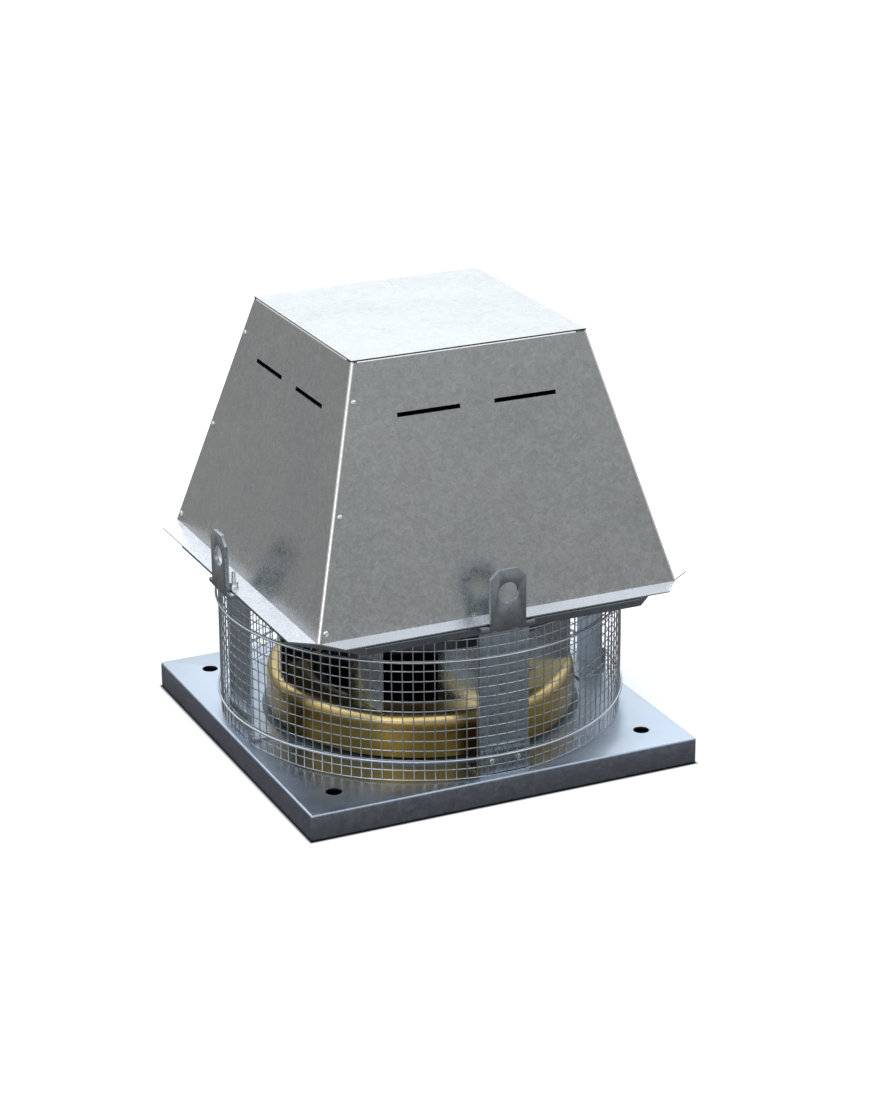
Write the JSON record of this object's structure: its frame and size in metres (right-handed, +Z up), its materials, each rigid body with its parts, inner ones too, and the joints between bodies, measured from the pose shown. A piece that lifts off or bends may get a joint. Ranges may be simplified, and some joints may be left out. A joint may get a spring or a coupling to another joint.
{
  "type": "roof exhaust fan for a kitchen hood",
  "caption": "Square flashing base with a caged centrifugal impeller, driven by a motor that stands under a pyramid-shaped sheet-metal cowl with lifting lugs.",
  "frame": {"origin": "centre of the square base, at the level of the skirt's lower edge, on the axis of the impeller", "axes": "+Z up along the impeller's shaft; -Y out of the front side, +X out of the right side, seen from the front"},
  "size_m": [0.534, 0.534, 0.54],
  "materials": {
    "galvanised_sheet": "hot-dip galvanised, visible spangle",
    "dark_sheet": "galvanised, dull slate grey",
    "light_sheet": "bright galvanised",
    "guard_wire": "bright zinc-plated wire",
    "yellow_passivated_sheet": "zinc plated, yellow passivated",
    "cast_aluminium": "as cast",
    "turned_steel": "turned",
    "laminations": "varnished",
    "black_plastic": "moulded, matt"
  },
  "bodies": {
    "frame": {"base_plate": "dark_sheet", "bearing_drive_end": "turned_steel", "bearing_rear_end": "turned_steel", "cable_gland": "black_plastic", "cowl_bracket_back": "galvanised_sheet", "cowl_bracket_front": "galvanised_sheet", "cowl_bracket_left": "galvanised_sheet", "cowl_bracket_right": "galvanised_sheet", "cowl_lid": "light_sheet", "cowl_panel_back": "galvanised_sheet", "cowl_panel_front": "galvanised_sheet", "cowl_panel_left": "galvanised_sheet", "cowl_panel_right": "galvanised_sheet", "foot_angle_back": "light_sheet", "foot_angle_front": "light_sheet", "foot_angle_left": "light_sheet", "foot_angle_right": "light_sheet", "guard_hoop_lower": "guard_wire", "guard_hoop_upper": "guard_wire", "guard_mesh": "guard_wire", "inlet_cone": "light_sheet", "inlet_flange": "light_sheet", "leg_back": "galvanised_sheet", "leg_front": "galvanised_sheet", "leg_left": "galvanised_sheet", "leg_right": "galvanised_sheet", "lifting_lug_back": "galvanised_sheet", "lifting_lug_front": "galvanised_sheet", "lifting_lug_left": "galvanised_sheet", "lifting_lug_right": "galvanised_sheet", "motor_drive_shield": "cast_aluminium", "motor_fan_cover": "dark_sheet", "motor_housing": "cast_aluminium", "motor_plate": "dark_sheet", "motor_rear_shield": "cast_aluminium", "motor_stator_core": "laminations", "terminal_box": "black_plastic", "terminal_box_lid": "black_plastic"},
    "rotor": {"motor_shaft": "turned_steel", "motor_rotor_core": "laminations", "motor_cooling_fan": "black_plastic", "impeller_hub": "cast_aluminium", "impeller_back_plate": "galvanised_sheet", "impeller_shroud": "yellow_passivated_sheet", "impeller_skirt": "yellow_passivated_sheet", "hub_washer": "turned_steel", "hub_bolt": "turned_steel", "impeller_blade_1": "galvanised_sheet", "impeller_blade_2": "galvanised_sheet", "impeller_blade_3": "galvanised_sheet", "impeller_blade_4": "galvanised_sheet", "impeller_blade_5": "galvanised_sheet", "impeller_blade_6": "galvanised_sheet", "impeller_blade_7": "galvanised_sheet"}
  },
  "joints": [
    {"name": "impeller_spin", "type": "hinge", "parent": "frame", "child": "rotor", "pos_m": [0, 0, 0.1808], "axis": [0, 0, 1], "continuous": true}
  ]
}
